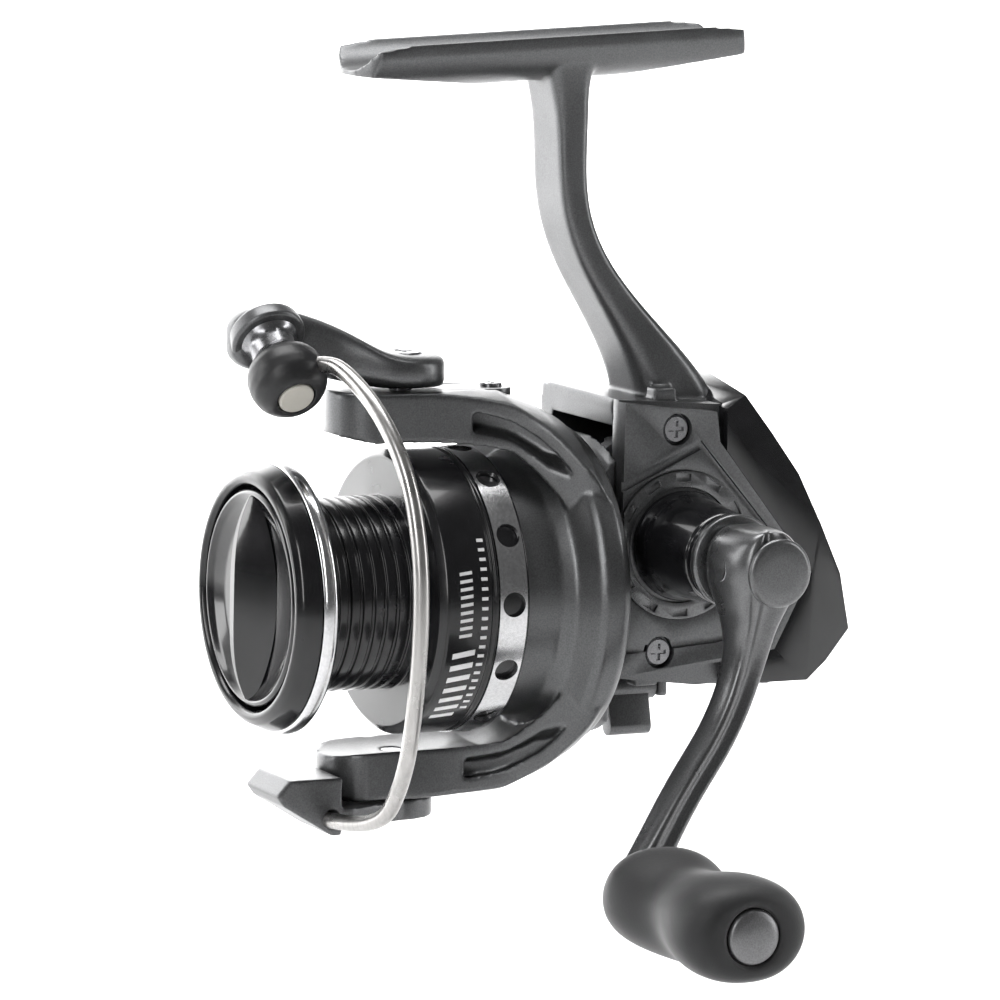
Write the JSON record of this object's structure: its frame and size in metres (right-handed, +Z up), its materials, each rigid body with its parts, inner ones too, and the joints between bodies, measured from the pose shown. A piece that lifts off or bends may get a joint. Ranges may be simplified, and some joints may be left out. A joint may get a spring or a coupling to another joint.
{
  "type": "spinning reel",
  "caption": "Size 1000 front-drag spinning reel with rod foot, folding bail, line roller, slotted-rim rotor, oscillating spool and crank handle.",
  "frame": {"origin": "on the rod-seat axis, over the middle of the reel foot", "axes": "+Z up towards the rod, +X towards the rod butt with the spool at -X, crank handle on -Y"},
  "size_m": [0.0891, 0.0923, 0.1161],
  "materials": {
    "gunmetal": "satin graphite paint",
    "trim": "satin grey",
    "gloss_black": "polished black",
    "spool_black": "gloss black anodised",
    "bright": "polished",
    "wire": "bright drawn wire",
    "steel": "ground steel",
    "brass": "machined",
    "zinc": "die-cast",
    "nylon": "moulded",
    "knob_rubber": "soft black rubber",
    "knob_cap": "satin domed cap"
  },
  "bodies": {
    "body": {"body_frame": "gunmetal", "side_cover": "gunmetal", "side_cover_screws": "bright", "bearing_trim_ring": "trim", "rear_cover": "gloss_black", "rear_cover_screws": "bright", "anti_reverse_pin": "steel", "drive_bearings": "steel", "pinion_bearing": "steel", "pinion_rear_bush": "brass", "clutch_ring": "steel", "clutch_rollers": "steel", "clutch_screws": "steel", "oscillation_axle": "steel", "crosshead_guide_rod": "steel", "far_port_cap": "gloss_black"},
    "anti_reverse": {"anti_reverse_lever": "gunmetal"},
    "crank": {"drive_gear": "zinc", "drive_shaft": "steel", "oscillation_pinion": "nylon", "handle_barrel": "gloss_black", "handle_collar": "trim", "handle_arm": "gunmetal", "handle_screw": "bright", "knob_spindle": "steel"},
    "handle_knob": {"knob_grip": "knob_rubber", "knob_bushes": "nylon", "knob_cap": "knob_cap"},
    "oscillator": {"oscillation_gear": "nylon"},
    "rotor": {"rotor_frame": "gunmetal", "pinion_gear": "brass", "clutch_sleeve": "steel", "rotor_nut": "steel", "arm_covers": "gunmetal", "arm_cover_screws": "bright", "bail_spring": "steel", "bail_kick_lever": "steel", "rotor_balance_weight": "brass"},
    "bail": {"bail_arm": "gunmetal", "bail_arm_screw": "bright", "wire_end_cap": "trim", "roller_screw": "bright", "bail_wire": "wire", "wire_bracket": "gunmetal", "bracket_screw": "bright"},
    "roller": {"line_roller": "bright", "roller_bush": "nylon"},
    "slider": {"main_shaft": "steel", "crosshead": "zinc", "crosshead_pin": "steel", "spool_seat": "nylon", "click_gear": "nylon"},
    "spool": {"spool": "spool_black", "skirt_band": "bright", "lip_ring": "bright", "click_pawl": "steel", "drag_washers": "nylon", "drag_retaining_ring": "steel"},
    "drag": {"drag_knob": "gloss_black", "drag_nut": "brass"}
  },
  "joints": [
    {"name": "anti_reverse_switch", "type": "hinge", "parent": "body", "child": "anti_reverse", "pos_m": [0.01023, 0, -0.09517], "axis": [0.9986, 0, -0.0523], "range_deg": [0, 25]},
    {"name": "handle_crank", "type": "hinge", "parent": "body", "child": "crank", "pos_m": [0.01286, -0.02, -0.07377], "axis": [0, 1, 0], "continuous": true},
    {"name": "knob_spin", "type": "hinge", "parent": "crank", "child": "handle_knob", "pos_m": [-0.00747, -0.054, -0.11387], "axis": [0, 1, 0], "continuous": true},
    {"name": "oscillation_spin", "type": "hinge", "parent": "body", "child": "oscillator", "pos_m": [0.02452, 0.0055, -0.0767], "axis": [0, 1, 0], "continuous": true},
    {"name": "rotor_spin", "type": "hinge", "parent": "body", "child": "rotor", "pos_m": [-0.00746, 0, -0.07922], "axis": [0.9986, 0, -0.0523], "continuous": true},
    {"name": "bail_swing", "type": "hinge", "parent": "rotor", "child": "bail", "pos_m": [-0.02393, 0, -0.07835], "axis": [-0.0523, 0, -0.9986], "range_deg": [0, 100]},
    {"name": "roller_spin", "type": "hinge", "parent": "bail", "child": "roller", "pos_m": [-0.04107, -0.0006, -0.04421], "axis": [-0.0308, -0.809, -0.587], "continuous": true},
    {"name": "spool_stroke", "type": "slide", "parent": "body", "child": "slider", "axis": [0.9986, 0, -0.0523], "range_m": [-0.0045, 0.0045]},
    {"name": "spool_drag", "type": "hinge", "parent": "slider", "child": "spool", "pos_m": [-0.03242, 0, -0.07791], "axis": [0.9986, 0, -0.0523], "continuous": true},
    {"name": "drag_adjust", "type": "hinge", "parent": "slider", "child": "drag", "pos_m": [-0.04241, 0, -0.07739], "axis": [0.9986, 0, -0.0523], "continuous": true}
  ],
  "couplings": [
    {"joint": "rotor_spin", "follows": "handle_crank", "ratio": -4.8},
    {"joint": "oscillation_spin", "follows": "handle_crank", "ratio": -0.48}
  ]
}
